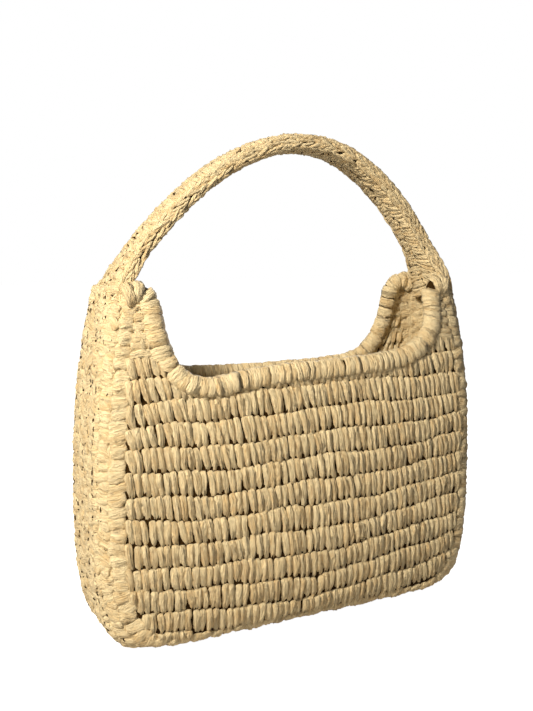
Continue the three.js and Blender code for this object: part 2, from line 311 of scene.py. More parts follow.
# %% From arrays to a mesh
def make_piece(name, parts, materials):
    """One mesh object from several arrays of bars and layers. parts is a list of (arrays, which
    material), and materials the list that they choose from."""
    sizes = np.cumsum([0] + [len(p["verts"]) for p, _ in parts])
    verts = np.concatenate([p["verts"] for p, _ in parts]) * MM
    verts[:, 2] = np.maximum(verts[:, 2], FLOOR_GAP * MM)
    quads = np.concatenate([p["quads"] + n for (p, _), n in zip(parts, sizes)])
    tris = np.concatenate([p["tris"] + n for (p, _), n in zip(parts, sizes)])
    finish = np.concatenate([np.full(len(p["quads"]), m) for p, m in parts]
                            + [np.full(len(p["tris"]), m) for p, m in parts])
    mesh = bpy.data.meshes.new(name)
    mesh.vertices.add(len(verts))
    mesh.vertices.foreach_set("co", verts.ravel())
    corners = np.concatenate([quads.ravel(), tris.ravel()])
    mesh.loops.add(len(corners))
    mesh.loops.foreach_set("vertex_index", corners)
    totals = np.concatenate([np.full(len(quads), 4), np.full(len(tris), 3)])
    mesh.polygons.add(len(totals))
    mesh.polygons.foreach_set("loop_start", np.concatenate([[0], np.cumsum(totals)[:-1]]))
    mesh.polygons.foreach_set("material_index", finish)
    mesh.polygons.foreach_set("use_smooth", np.ones(len(totals), bool))
    mesh.update(calc_edges=True)
    place = np.concatenate([p["place"] for p, _ in parts])
    mesh.attributes.new("straw_place", "FLOAT_VECTOR", "POINT").data.foreach_set("vector", place.ravel())
    tone = np.concatenate([p["tone"] for p, _ in parts])
    mesh.attributes.new("straw_tone", "FLOAT", "POINT").data.foreach_set("value", tone)
    for material in materials:
        mesh.materials.append(material)
    piece = bpy.data.objects.new(name, mesh)
    bpy.context.scene.collection.objects.link(piece)
    print(name, "has", 2 * len(quads) + len(tris), "triangles")
    return piece


# %% [markdown]
# ## Paper straw
# The yarn is paper raffia: a ribbon of wood-pulp paper, dyed through in the mass, folded lengthwise
# and twisted, with a faint wax finish. It gives a warm pale straw colour, a soft satin gleam on the
# round tops, fine creases along every strand, and slight changes of tone from strand to strand. The
# creases are really about 0.3 mm apart; they are drawn 2 mm apart, with finer ones of 0.7 mm between
# them, so that they show, and their folds are tinted darker as painted shade. The same straw deep in
# a gap gets hardly any light, so a second, near-black finish paints it: painted shade.

# %% Colours and nodes
def linear(hex_colour):
    """An sRGB hex colour as linear red, green, blue and alpha."""
    parts = [int(hex_colour[i:i + 2], 16) / 255 for i in (1, 3, 5)]
    return tuple(v / 12.92 if v <= 0.04045 else ((v + 0.055) / 1.055) ** 2.4 for v in parts) + (1.0,)


def add_node(tree, kind, settings=(), links=()):
    """One node: settings are attributes or input values by name, links are inputs fed by sockets."""
    node = tree.nodes.new(kind)
    for name, value in dict(settings).items():
        if isinstance(name, str) and hasattr(node, name):
            setattr(node, name, value)
        else:
            node.inputs[name].default_value = value
    for name, source in dict(links).items():
        tree.links.new(source, node.inputs[name])
    return node


# %% The straw's surface
CREASE_MM, FIBRE_MM, PATCH_MM = 2.0, 2 / 3, 6.25  # from one to the next
CREASE_DEPTH = 0.004  # in metres: deeper than the real ones, as they are also wider
# the creases' share paints their folds darker: painted shade
TONE_SHARE, CREASE_SHADE_SHARE, PATCH_SHARE = 0.25, 1.1, 0.45  # what each adds to the tint


def straw_pattern(tree):
    """Sockets that vary over the straw: its creases, its finer fibres, and its tint from 0 to 1, lowest in
    the creases' folds as painted shade.
    """
    place = add_node(tree, "ShaderNodeAttribute", {"attribute_name": "straw_place"})
    tone = add_node(tree, "ShaderNodeAttribute", {"attribute_name": "straw_tone"})
    # across, above and along the strand: the creases are 5 times longer than they are wide
    stretched = add_node(tree, "ShaderNodeVectorMath", {"operation": "MULTIPLY", 1: (1.0, 1.0, 0.2)},
                         {0: place.outputs["Vector"]})
    crease = add_node(tree, "ShaderNodeTexNoise",
                      {"Scale": 1 / CREASE_MM, "Detail": 4.0, "Roughness": 0.65, "Distortion": 0.6},
                      {"Vector": stretched.outputs[0]})
    fibre = add_node(tree, "ShaderNodeTexNoise", {"Scale": 1 / FIBRE_MM, "Detail": 2.0},
                     {"Vector": stretched.outputs[0]})
    patch = add_node(tree, "ShaderNodeTexNoise", {"Scale": 1 / PATCH_MM, "Detail": 2.0},
                     {"Vector": place.outputs["Vector"]})
    faint_tone = add_node(tree, "ShaderNodeMath", {"operation": "MULTIPLY", 1: TONE_SHARE},
                          {0: tone.outputs["Fac"]})
    # the crease noise darkens the tint in the folds: painted shade
    mixed = add_node(tree, "ShaderNodeMath", {"operation": "MULTIPLY_ADD", 1: CREASE_SHADE_SHARE},
                     {0: crease.outputs["Fac"], 2: faint_tone.outputs[0]})
    spread = add_node(tree, "ShaderNodeMath", {"operation": "MULTIPLY_ADD", 1: PATCH_SHARE},
                      {0: patch.outputs["Fac"], 2: mixed.outputs[0]})
    return crease.outputs["Fac"], fibre.outputs["Fac"], spread.outputs[0]


def tint_ramp(tree, tints, factor):
    """The three tints, from the painted shade of the deepest fold to the palest strand."""
    ramp = add_node(tree, "ShaderNodeValToRGB", {}, {"Fac": factor})
    ramp.color_ramp.elements[0].position = 0.25
    ramp.color_ramp.elements[0].color = linear(tints[0])
    ramp.color_ramp.elements[1].position = 1.0
    ramp.color_ramp.elements[1].color = linear(tints[2])
    middle = ramp.color_ramp.elements.new(0.6)
    middle.color = linear(tints[1])
    return ramp


# %% Two finishes of the same straw: lit, and near black with painted shade
def straw_material(name, tints, crease_strength, gloss):
    """Paper straw in three tints. gloss is 1 on the outside and less in the copy with painted shade, for the
    gaps where the stitches shade it.
    """
    material = bpy.data.materials.new(name)
    material.use_nodes = True
    tree = material.node_tree
    tree.nodes.clear()
    crease, fibre, tint = straw_pattern(tree)
    ramp = tint_ramp(tree, tints, tint)
    height = add_node(tree, "ShaderNodeMath", {"operation": "MULTIPLY_ADD", 1: 0.4}, {0: fibre, 2: crease})
    bump = add_node(tree, "ShaderNodeBump", {"Strength": crease_strength, "Distance": CREASE_DEPTH},
                    {"Height": height.outputs[0]})
    shine = add_node(tree, "ShaderNodeMapRange", {"To Min": 0.52, "To Max": 0.74}, {"Value": fibre})
    shader = add_node(tree, "ShaderNodeBsdfPrincipled",
                      {"IOR": 1.5, "Sheen Weight": 0.08 * gloss, "Sheen Roughness": 0.5,
                       "Specular IOR Level": 0.5 * gloss},
                      {"Base Color": ramp.outputs["Color"], "Normal": bump.outputs["Normal"],
                       "Roughness": shine.outputs["Result"]})
    add_node(tree, "ShaderNodeOutputMaterial", {}, {"Surface": shader.outputs[0]})
    return material


paper_straw = straw_material("folded_paper_straw", ["#A27C3E", "#DDBE88", "#F3E0B4"], 1.0, 1.0)
# the second finish is painted shade: near-black straw with little gloss, for the gaps
painted_shade_straw = straw_material("paper_straw_painted_shade", ["#1A1003", "#261806", "#35230A"], 0.4, 0.1)
STRAW = [paper_straw, painted_shade_straw]


# %% [markdown]
# ## Laying stitches on a surface
# Every part of the bag is described by a place function: two numbers in, a point of the surface
# and a rough outward direction out. A stitch is a straight line between two pairs of numbers, and
# the place function bends it onto the surface.

# %% Lines on a surface
def surface_normals(place, u, v):
    """Outward normals at u and v, from the surface's slope."""
    step = 0.4
    slope_u = place(u + step, v)[0] - place(u - step, v)[0]
    slope_v = place(u, v + step)[0] - place(u, v - step)[0]
    normal = unit(np.cross(slope_u, slope_v))
    facing = np.sign((normal * place(u, v)[1]).sum(-1, keepdims=True))
    return normal * np.where(facing == 0, 1, facing)


def lay_lines(place, starts, ends, tilt=0.0, bend=None, puff=0.0):
    """Paths and normals of bars from starts to ends, both lists of u and v. tilt lifts the first
    tip off the surface and sinks the last one, and puff lifts the middle and sinks both."""
    t = STATIONS[None, :, None]
    uv = starts[:, None, :] + (ends - starts)[:, None, :] * t
    if bend is not None:
        uv[..., 0] += bend[:, None] * np.sin(np.pi * STATIONS)[None]
    points = place(uv[..., 0], uv[..., 1])[0]
    normals = surface_normals(place, uv[..., 0], uv[..., 1])
    return points + normals * (tilt * (1 - 2 * t) + puff * (2 * np.sin(np.pi * t) - 1)), normals


# %% [markdown]
# ## The panels
# Rows of tall stitches, ten below the bound mouth and a few more beside it. The hook pulls every
# stitch the same way, so they all lean; their heads are wide and touch, their feet are narrow and
# leave small dark gaps. The rows arch up in the middle where the belly stretches them. Under the
# mouth's left corner they sag, and to the right they climb, less and less from row to row. In the
# ears the yarn turns across, from the seam to the mouth.

# %% The rows of a panel
PITCH = 5.8  # from one stitch to the next
LEAN = 3.6  # how far a stitch's head stands to one side of its foot
ROW_MIDDLE, ROW_EDGE = (206.6, 20.2), (200.3, 17.8)  # height of the top line, and row to row
FIRST_ROW, LAST_ROW = -4, 10
SAG_AT, SAG_REACH, SAG_DEPTH = -88, 26, 4.5
CLIMB_FROM, CLIMB_RUN, CLIMB_HEIGHT = 70, 80, 5.0
FADE_ROWS = 2.5  # sag and climb shrink to a third within so many rows


def row_line(row, x, facing):
    """Height of the line above a row of stitches."""
    middle = ROW_MIDDLE[0] - ROW_MIDDLE[1] * row
    edge = ROW_EDGE[0] - ROW_EDGE[1] * row
    sway = 1.3 * np.sin(x / 24 + 0.7 * row + facing) + 0.8 * np.sin(x / 9.5 + 2.1 * row)
    fade = np.exp(-max(row, 0) / FADE_ROWS)
    sag = -SAG_DEPTH * fade * np.exp(-(((x - SAG_AT) / SAG_REACH) ** 2))
    climb = CLIMB_HEIGHT * fade * np.clip((x - CLIMB_FROM) / CLIMB_RUN, 0, 1) ** 2
    return middle + (edge - middle) * (x / WIDEST_HALF) ** 2 + sway + sag + climb


def panel_place(facing):
    """The panel's middle surface by x and z: facing is -1 on the front and 1 on the back."""
    def place(x, z):
        reach = half_depth_at(z) + belly_at(x, z) - WALL / 2
        outward = np.broadcast_to(np.array([0.0, facing, 0.0]), x.shape + (3,))
        return np.stack([x, facing * reach, z], -1), outward
    return place


# %% The mouth's line
FRONT_MOUTH = [(-133, 276), (-133, 261), (-129, 242), (-121, 224), (-108, 212), (-88, 208), (-60, 213),
               (-20, 216), (30, 217), (75, 219), (98, 222), (114, 229), (126, 239), (132, 251), (133, 263),
               (132, 276)]
BACK_MOUTH = [(-132, 276), (-127, 250), (-117, 226), (-103, 212), (-80, 206), (-40, 204), (5, 203.5),
              (60, 204), (95, 207), (109, 212), (121, 224), (128, 240), (132, 254), (132.5, 265), (132, 276)]
# the binding turns over the ear into the strap
EAR_CURL = [(-152, 281), (-147, 285), (-140, 285.5), (-135, 282)]
UPRIGHT_FROM = 131  # beyond this x the mouth's edge stands upright, and nothing lies above a stitch
NO_EDGE = 400.0


def smooth_line(points, step=1.5, rounds=30):
    """A listed line with its corners rounded, its points about step apart."""
    line = evenly(np.array(points, float), step)[0]
    for _ in range(rounds):
        line[1:-1] = (line[:-2] + 2 * line[1:-1] + line[2:]) / 4
    return line


mouth_lines = {-1: smooth_line(FRONT_MOUTH), 1: smooth_line(BACK_MOUTH)}


def mouth_height(x, facing):
    """Height of the bound edge above x; beside the mouth there is none."""
    line = mouth_lines[facing]
    return np.where(np.abs(x) < UPRIGHT_FROM, np.interp(x, line[:, 0], line[:, 1]), NO_EDGE)


# %% One panel's stitches
SEAM_ROOM, SHORTEST = 3.0, 5.0  # a stitch stays this far inside the seam, and is at least this tall
EAR_TURNS_FROM, EAR_TURN = 237.0, 7.2  # height of the lowest turn in an ear, and turn to turn


def outline_bottom(x):
    """Height of the outline's lower edge at x."""
    share = np.clip((np.abs(x) - FLAT_HALF) / (WIDEST_HALF - FLAT_HALF), 0, 1)
    return WIDEST_HEIGHT - (WIDEST_HEIGHT - SEAM_HEIGHT) * (1 - share**CORNER_POWER) ** (1 / CORNER_POWER)


def row_stitches(row, facing, rng):
    """The heads, the feet and the half widths of one row's stitches."""
    x = np.arange(-WIDEST_HALF, WIDEST_HALF, PITCH) + rng.uniform(0, PITCH)
    x = x + rng.uniform(-0.7, 0.7, len(x))
    head = np.minimum(row_line(row, x, facing), mouth_height(x, facing) - 2)
    foot = np.maximum(row_line(row + 1, x, facing), outline_bottom(np.abs(x) + 3) + 2)
    inside = np.abs(x) < half_width_at(np.minimum(head, EAR_TOP)) - SEAM_ROOM
    below_ear_top = (head + foot) / 2 < EAR_TOP - 8
    keep = (head - foot > SHORTEST) & inside & below_ear_top
    x, head, foot = x[keep], head[keep], foot[keep]
    lean = facing * (LEAN / 2 * (1.15 - 0.09 * row) + rng.normal(0, 0.45, len(x)))
    heads = np.stack([x + lean, head + 0.4 + rng.normal(0, 0.4, len(x))], 1)
    feet = np.stack([x - lean, foot - 1.4 + rng.normal(0, 0.4, len(x))], 1)
    return heads, feet, PITCH / 2 * rng.uniform(1.0, 1.24, len(x))


def ear_turns(side, facing, rng):
    """Turns across one ear, between the seam and the mouth: side is -1 on the left."""
    z = np.arange(EAR_TURNS_FROM, EAR_TOP - 3, EAR_TURN)
    z = z + rng.uniform(-0.8, 0.8, len(z))
    line = mouth_lines[facing]
    flank = line[side * line[:, 0] > 100]
    flank = flank[np.argsort(flank[:, 1])]
    at_seam = np.stack([side * (half_width_at(z) - 2), z - 1], 1)
    at_mouth = np.stack([np.interp(z, flank[:, 1], flank[:, 0]) - side * 2, z + 1.5], 1)
    return at_seam, at_mouth, rng.uniform(3.6, 4.4, len(z))


def panel_stitches(facing, rng):
    """All the stitches of a panel as bars."""
    made = [row_stitches(row, facing, rng) for row in range(FIRST_ROW, LAST_ROW + 1)]
    made += [ear_turns(side, facing, rng) for side in (-1, 1)]
    starts, ends, widths = (np.concatenate(part) for part in zip(*made))
    print("a panel has", len(starts), "stitches")
    bend = rng.normal(0, 0.6, len(starts))
    lift = rng.normal(1.2, 0.4, (len(starts), 1, 1))
    paths, normals = lay_lines(panel_place(facing), starts, ends, tilt=lift, bend=bend, puff=0.7)
    thick = rng.uniform(2.8, 3.6, len(starts))
    return make_bars(paths, normals, widths, thick, rng, section=FINE_SECTION, head=0.26, bluntness=4.0,
                     fold=0.5)


def panel_core(facing):
    """The layer behind the stitches, from the outline to the mouth: it closes the small gaps, and its
    near-black finish paints the shade in them."""
    place = panel_place(facing)
    shares = np.linspace(0.004, 0.996, 90)
    x, z, out_x, out_z = on_outline(shares * OUTLINE_LENGTH)
    edge = np.stack([x - 4 * out_x, z - 4 * out_z], -1)
    line = mouth_lines[facing]
    rim = np.stack([np.interp(shares, np.linspace(0, 1, len(line)), c) for c in line.T], -1)
    mix = np.linspace(0, 1, 16)[:, None, None]
    grid = edge[None] * (1 - mix) + rim[None] * mix
    points = place(grid[..., 0], grid[..., 1])[0]
    normals = surface_normals(place, grid[..., 0], grid[..., 1])
    return make_layer(points, normals * facing, CORE_THICK)  # its faces point in; -facing turns them out


# %% Both panels
rng = np.random.default_rng(11)
# each panel's core layer takes the finish with painted shade
front_panel = make_piece("front_stitches", [(panel_stitches(-1, rng), 0), (panel_core(-1), 1)], STRAW)
back_panel = make_piece("back_stitches", [(panel_stitches(1, rng), 0), (panel_core(1), 1)], STRAW)
for piece, node in ((front_panel, "front_panel"), (back_panel, "back_panel")):
    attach(piece, "bag")
    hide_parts(node)


# %% [markdown]
# ## The band
# One strip makes both sides and the base. It is worked lengthwise in close low stitches, so it
# shows short puffs with small slits between them. Near each edge one closer line of slits runs along
# it, where two rows were joined. The stitches lie on a thin pale layer, and each slit is a small
# flat near-black bar among them, painted shade in place of an opening, because a real opening is
# narrower than the bars are uneven, and would close up.

# %% The band's surface
LANE, LANE_WIDTH = 0.25, 13.7  # a row's share of half the band's width, and its millimetres
FLAT_LANES = 0.5  # the flat shoulder takes this share of the rows on each side
BAND_TOP = 283.0


def band_surface(along, lane):
    """The band's outer surface: along the outline in mm, and lane from -1 at the front edge to 1 at
    the back one, in equal steps of crochet."""
    x, z, out_x, out_z = on_outline(along)
    size = np.abs(lane)
    flat = np.minimum(size, FLAT_LANES) / FLAT_LANES * BOW_SHOULDER
    past = np.clip((size - FLAT_LANES) / (1 - FLAT_LANES), 0, 1.2)
    across = np.where(size < FLAT_LANES, flat, BOW_SHOULDER + (1 - BOW_SHOULDER) * past)
    bow = 1 - past**2
    corner = CORNER_BOW * (2 * out_x * out_z) ** 2
    y = np.sign(lane) * across * (half_depth_at(z) - 1)
    points = np.stack([x + (SIDE_BOW + corner) * out_x * bow, y,
                       z + (SEAM_HEIGHT + corner) * out_z * bow], -1)
    return points, np.stack([out_x, np.sign(lane) * 0.3 * past, out_z], -1)


def band_place(along, lane_mm):
    """The same with the lane in millimetres, sunk to the middle of the crochet."""
    lane = lane_mm / LANE_WIDTH * LANE
    points, outward = band_surface(along, lane)
    return points - unit(outward) * (WALL / 2), outward


along_all = np.linspace(0, OUTLINE_LENGTH, 800)
height_all = on_outline(along_all)[1]
BAND_START = float(along_all[height_all < BAND_TOP][0])
print("the band runs", round(OUTLINE_LENGTH - 2 * BAND_START), "mm from strap to strap")


# %% The band's stitches
# where each row starts and ends across the band, and its distance from stitch to stitch
BAND_LANES = [(-46, -37, 5.2), (-37, -28, 5.6), (-27.2, -13.7, 6.6), (-13.9, 0.2, 6.8),
              (-0.2, 13.9, 6.8), (13.7, 27.2, 6.6), (28, 37, 5.6), (37, 46, 5.2)]


def band_stitches(rng):
    """Eight rows of low stitches along the band: narrow ones at its edges, wide ones between."""
    starts, ends, widths = [], [], []
    for row, (low, high, pitch) in enumerate(BAND_LANES):
        along = np.arange(BAND_START, OUTLINE_LENGTH - BAND_START, pitch)
        along = along + rng.normal(0, 0.5, len(along))
        slant = rng.normal(0, 1.3, len(along)) + (1.3 if row % 2 else -1.3)
        ragged = rng.normal(0, 0.7, (2, len(along)))
        starts.append(np.stack([along - slant, low - 1.2 + ragged[0]], 1))
        ends.append(np.stack([along + slant, high + 1.2 + ragged[1]], 1))
        widths.append(pitch * rng.uniform(0.62, 0.86, len(along)))
    starts, ends, widths = (np.concatenate(v) for v in (starts, ends, widths))
    print("the band has", len(starts), "stitches")
    bend = rng.normal(0, 0.9, len(starts))
    lift = rng.normal(0, 0.8, (len(starts), 1, 1))
    paths, normals = lay_lines(band_place, starts, ends, tilt=lift, bend=bend, puff=0.3)
    thick = rng.uniform(1.5, 2.2, len(starts))
    return make_bars(paths, normals, widths, thick, rng, fold=0.45, bluntness=4.0)


# %% The band's slits
# from an edge to the middle: where a line of slits lies, slit to slit, and how many of them show
EDGE_SLITS = [(42, 8.0, 0.3), (36, 7.0, 0.5), (28, 5.2, 0.95), (20, 6.5, 0.45), (13.8, 5.8, 0.7),
              (7, 6.8, 0.4)]
SLIT_LINES = [(-lane, *rest) for lane, *rest in EDGE_SLITS] + [(0, 5.8, 0.7)] + EDGE_SLITS[::-1]


def band_slits(rng):
    """The slits between the band's stitches as near-black bars of painted shade: many where two rows meet,
    and fewer between.
    """
    starts, ends, widths = [], [], []
    for lane, pitch, chance in SLIT_LINES:
        along = np.arange(BAND_START + 3, OUTLINE_LENGTH - BAND_START - 3, pitch)
        along = along + rng.normal(0, 1.0, len(along))
        along = along[rng.uniform(0, 1, len(along)) < chance]
        half = 0.6 + rng.gamma(2.0, 0.55, len(along))
        aside = rng.normal(0, 1.2, (2, len(along)))
        starts.append(np.stack([along - half, lane + aside[0]], 1))
        ends.append(np.stack([along + half, lane + aside[0] + aside[1]], 1))
        widths.append(rng.uniform(0.35, 0.85, len(along)))
    starts, ends, widths = (np.concatenate(v) for v in (starts, ends, widths))
    paths, normals = lay_lines(band_place, starts, ends)
    return make_bars(paths + normals * 0.35, normals, widths, np.full(len(starts), 1.5), rng,
                     section=SLIT_SECTION, fold=0.0, wobble=0.3)


def band_core():
    """The layer behind the band's stitches."""
    along = np.linspace(BAND_START, OUTLINE_LENGTH - BAND_START, 160)
    lanes = np.linspace(-3.9, 3.9, 27) * LANE_WIDTH
    u, v = np.meshgrid(along, lanes, indexing="ij")
    return make_layer(band_place(u, v)[0], surface_normals(band_place, u, v), CORE_THICK)


band = make_piece("band_stitches", [(band_stitches(rng), 0)], STRAW[:1])
# the slits take the finish with painted shade; the layer under them stays pale
band_gaps = make_piece("band_gaps", [(band_core(), 0), (band_slits(rng), 1)], STRAW)
for piece in (band, band_gaps):
    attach(piece, "bag")
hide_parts("gusset")


# %% [markdown]
# ## The joining seams
# Panel and band are joined by one row of wide wraps over the corner between them. It is the
# brightest line of the bag, because the wraps are thick and stand out.

# %% The seam's surface
def seam_place(facing):
    """Round the corner: along the outline, and across in mm, below 0 on the panel and above 0 on
    the band."""
    panel = panel_place(facing)

    def corner(along, across):
        x, z, out_x, out_z = on_outline(along)
        inward = np.minimum(across, 0)
        on_panel = panel(x + out_x * inward, z + out_z * inward)[0]
        lane_mm = facing * (4 * LANE_WIDTH - np.maximum(across, 0))
        on_band = band_surface(along, lane_mm / LANE_WIDTH * LANE)[0]
        return np.where((across < 0)[..., None], on_panel, on_band)

    def place(along, across):
        shifts = np.linspace(-4, 4, 5)  # the mean over 8 mm rounds the corner off
        points = sum(corner(along, across + shift) for shift in shifts) / len(shifts)
        x, z, out_x, out_z = on_outline(along)
        return points, np.stack([out_x, np.full_like(out_x, facing), out_z], -1)
    return place


# %% The seam's wraps
SEAM_PITCH = 9.4  # from one wrap to the next


def seam_wraps(facing, rng):
    """One row of wraps over the corner."""
    along = np.arange(BAND_START - 4, OUTLINE_LENGTH - BAND_START + 4, SEAM_PITCH)
    along = along + rng.normal(0, 1.2, len(along))
    slant = rng.normal(0.6, 1.5, len(along))
    starts = np.stack([along - slant, rng.uniform(-5.5, -3.5, len(along))], 1)
    ends = np.stack([along + slant, rng.uniform(5.5, 8.0, len(along))], 1)
    widths = SEAM_PITCH * rng.uniform(0.56, 0.74, len(along))
    lift = rng.normal(0, 0.5, (len(starts), 1, 1))
    paths, normals = lay_lines(seam_place(facing), starts, ends, tilt=lift)
    thick = rng.uniform(1.8, 2.6, len(starts))
    return make_bars(paths, normals, widths, thick, rng, section=FINE_SECTION, fold=0.4, bluntness=3.4)


for name, facing in (("front_seam", -1), ("back_seam", 1)):
    seam = make_piece(name + "_wraps", [(seam_wraps(facing, rng), 0)], STRAW)
    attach(seam, "bag")
    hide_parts(name)


# %% [markdown]
# ## The bound mouth
# The edge of the mouth is a cord with the yarn wound over it. Along the middle the turns stand side
# by side like a low fence; down the flanks of the ears they bunch into thick segments; over the ears
# they are close again. Under them lies a near-black tube of painted shade, as deep gaps are dark,
# with a pale plug at each end, where the last turns open like a ring.

# %% Round the rim
RIM_HIGH, RIM_THICK = 8.0, 5.6  # half height and half thickness of the bound edge
RIM_ROUND = 7.0  # millimetres round the rim for each radian
THICK_FROM, THICK_TO = 28, 95  # the thick turns lie this far from each end
NEAREST_TURN, FARTHEST_TURN, THICKER_BY = 4.6, 7.4, 3.5  # from one turn to the next


def rim_line(facing):
    """The rim's centre line, its outward direction and its direction into the mouth's opening."""
    right = [(-x, z) for x, z in EAR_CURL[::-1]]
    flat, along = evenly(smooth_line(EAR_CURL + (FRONT_MOUTH if facing < 0 else BACK_MOUTH) + right), 1.5)
    place = panel_place(facing)
    centre = place(flat[:, 0], flat[:, 1])[0]
    outward = surface_normals(place, flat[:, 0], flat[:, 1])
    run = unit(np.gradient(centre, axis=0))
    opening = unit(np.cross(outward, run))
    opening *= np.where(opening[len(opening) // 2, 2] > 0, 1, -1)
    return centre, outward, opening, along


def rim_place(facing):
    """By mm along the rim, and by mm round it: 0 at the outside, growing over the top."""
    centre, outward, opening, along = rim_line(facing)
    table = np.concatenate([centre, outward, opening], 1).T

    def place(s, round_mm):
        values = np.stack([np.interp(s, along, c) for c in table], -1)
        angle = round_mm / RIM_ROUND
        out = values[..., 3:6] * np.cos(angle)[..., None]
        high = values[..., 6:9] * np.sin(angle)[..., None]
        return values[..., :3] + out * RIM_THICK + high * RIM_HIGH, out + high
    return place, along[-1]


def rim_wraps(facing, rng):
    """The turns over the rim."""
    place, length = rim_place(facing)
    s = [3.0]
    while s[-1] < length - 3:
        from_end = min(s[-1], length - s[-1])
        thicker = THICKER_BY if THICK_FROM < from_end < THICK_TO else 0.0
        s.append(s[-1] + rng.uniform(NEAREST_TURN, FARTHEST_TURN) + thicker)
    s = np.array(s[:-1])
    pitch = np.gradient(s)
    slant = rng.normal(0.5, 1.3, (2, len(s)))
    at_ear = np.minimum(s, length - s) < 70
    low = np.where(at_ear, -12.0, -8.0) + rng.uniform(-1, 1, len(s))
    starts = np.stack([s - slant[0], low], 1)
    ends = np.stack([s + slant[1], rng.uniform(26.5, 28.5, len(s))], 1)
    widths = pitch * rng.uniform(0.6, 0.84, len(s))
    paths, normals = lay_lines(place, starts, ends, bend=rng.normal(0, 0.9, len(starts)))
    thick = rng.uniform(1.4, 2.2, len(starts))
    return make_bars(paths, normals, widths, thick, rng, section=FINE_SECTION, bluntness=4.0, twist=1.2)


def rim_core(facing):
    """What lies under the turns: near black all along as painted shade, and a pale plug that closes each
    end.
    """
    place, length = rim_place(facing)
    parts = []
    once_round = np.linspace(0, 2 * np.pi * RIM_ROUND, 15)
    # the long tube takes the finish with painted shade, the plugs the pale straw
    for first, last, share, finish in ((9, length - 9, 0.8, 1), (2, 12, 0.9, 0),
                                       (length - 12, length - 2, 0.9, 0)):
        s, turn = np.meshgrid(np.linspace(first, last, int(last - first) // 2), once_round, indexing="ij")
        parts.append((make_tube(place(s, turn)[0], share), finish))
    return parts


for name, facing in (("front_mouth_binding", -1), ("back_mouth_binding", 1)):
    rim = make_piece(name + "_wraps", [(rim_wraps(facing, rng), 0)] + rim_core(facing), STRAW)
    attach(rim, "bag")
    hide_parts(name)


# %% [markdown]
# ## The cotton inside
# The rim is round because the yarn is wound over a cord, and the strap doesn't stretch because a
# tape runs inside it. Neither shows. Both are spun cotton, left undyed: off-white, quite matt, and
# uneven where the fibres thicken, about 1.2 mm from slub to slub. The cord is three plies twisted
# together, so it is made as three tubes that wind round one line.

# %% Undyed cotton
SLUB_MM = 1.25


def cotton_material():
    """Undyed cotton: matt, off-white, a little uneven."""
    material = bpy.data.materials.new("undyed_cotton")
    material.use_nodes = True
    tree = material.node_tree
    shader = tree.nodes["Principled BSDF"]
    place = add_node(tree, "ShaderNodeAttribute", {"attribute_name": "straw_place"})
    slub = add_node(tree, "ShaderNodeTexNoise", {"Scale": 1 / SLUB_MM, "Detail": 3.0},
                    {"Vector": place.outputs["Vector"]})
    ramp = add_node(tree, "ShaderNodeValToRGB", {}, {"Fac": slub.outputs["Fac"]})
    ramp.color_ramp.elements[0].color = linear("#CFC6B0")
    ramp.color_ramp.elements[1].color = linear("#F1ECDD")
    tree.links.new(ramp.outputs["Color"], shader.inputs["Base Color"])
    shader.inputs["Roughness"].default_value = 0.9
    return material


cotton = cotton_material()

# %% The cords in the rim
CORD_RADIUS, PLY_RADIUS, CORD_LAY, PLIES = 3.2, 1.7, 14.0, 3  # the plies make one turn in 14 mm
CORD_ENDS = slice(12, -12)  # the cord stops 18 mm short of the rim's ends, 12 steps of 1.5 mm


def filler_cord(facing):
    """Cotton plies twisted together along the rim's centre line."""
    centre, outward, opening, along = (part[CORD_ENDS] for part in rim_line(facing))
    turn = along / CORD_LAY * 2 * np.pi
    round_ply = np.linspace(0, 2 * np.pi, 9)
    plies = []
    for ply in range(PLIES):
        angle = (turn + ply * 2 * np.pi / PLIES)[:, None]
        middle = centre + (CORD_RADIUS - PLY_RADIUS) * (outward * np.cos(angle) + opening * np.sin(angle))
        ring = (outward[:, None] * np.cos(round_ply)[None, :, None]
                + opening[:, None] * np.sin(round_ply)[None, :, None])
        plies.append((make_tube(middle[:, None] + PLY_RADIUS * ring, 1.0), 0))
    return plies


for name, facing in (("front_mouth_cord", -1), ("back_mouth_cord", 1)):
    cord = make_piece(name + "_plies", filler_cord(facing), [cotton])
    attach(cord, "bag")
    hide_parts(name)


# %% [markdown]
# ## The strap
# A flat tube of crochet with a cotton tape inside. Outside it carries on the band's rows; inside
# two columns of slanted stitches meet in a V; a chain closes each edge. It folds at its feet.

# %% The strap's line
# x and z of the middle line; it leans a little to the right, as a strap that stands by itself does
STRAP_ARCH = [(-160, 268), (-155, 280), (-145, 298), (-130, 319), (-107, 344), (-78, 370), (-46, 390),
              (-15, 402), (12, 405.5), (37, 403.5), (64, 394), (92, 375), (118, 349), (140, 319),
              (153, 296), (158, 280), (160.6, 268)]
STRAP_HALF_THICK = 7.0
STRAP_HALF_WIDTH, FOOT_SPREAD = 14.0, 9.0  # at the top, and how much more at the feet
FOOT_TOP, FOOT_RUN = 322, 40  # the strap widens below this height, over this drop
STRAP_EDGE = 16  # the faces' own measure across: 16 is the edge, however wide the strap is

STRAP_LINE, STRAP_ALONG = evenly(np.array(STRAP_ARCH, float), 1.5)
for _ in range(60):  # rounds the listed points off
    STRAP_LINE[1:-1] = (STRAP_LINE[:-2] + 2 * STRAP_LINE[1:-1] + STRAP_LINE[2:]) / 4
STRAP_LENGTH = STRAP_ALONG[-1]
strap_run = unit(np.gradient(STRAP_LINE, axis=0))
STRAP_OUT = np.stack([-strap_run[:, 1], strap_run[:, 0]], 1)
print("the strap is", round(STRAP_LENGTH), "mm long")


def strap_at(s):
    """x, z, and the outward direction's x and z, at a distance along the strap."""
    return [np.interp(s, STRAP_ALONG, c) for c in np.concatenate([STRAP_LINE, STRAP_OUT], 1).T]


def strap_half_width(z):
    """The strap widens towards its feet."""
    foot = np.clip((FOOT_TOP - z) / FOOT_RUN, 0, 1)
    return STRAP_HALF_WIDTH + FOOT_SPREAD * foot * foot * (3 - 2 * foot)


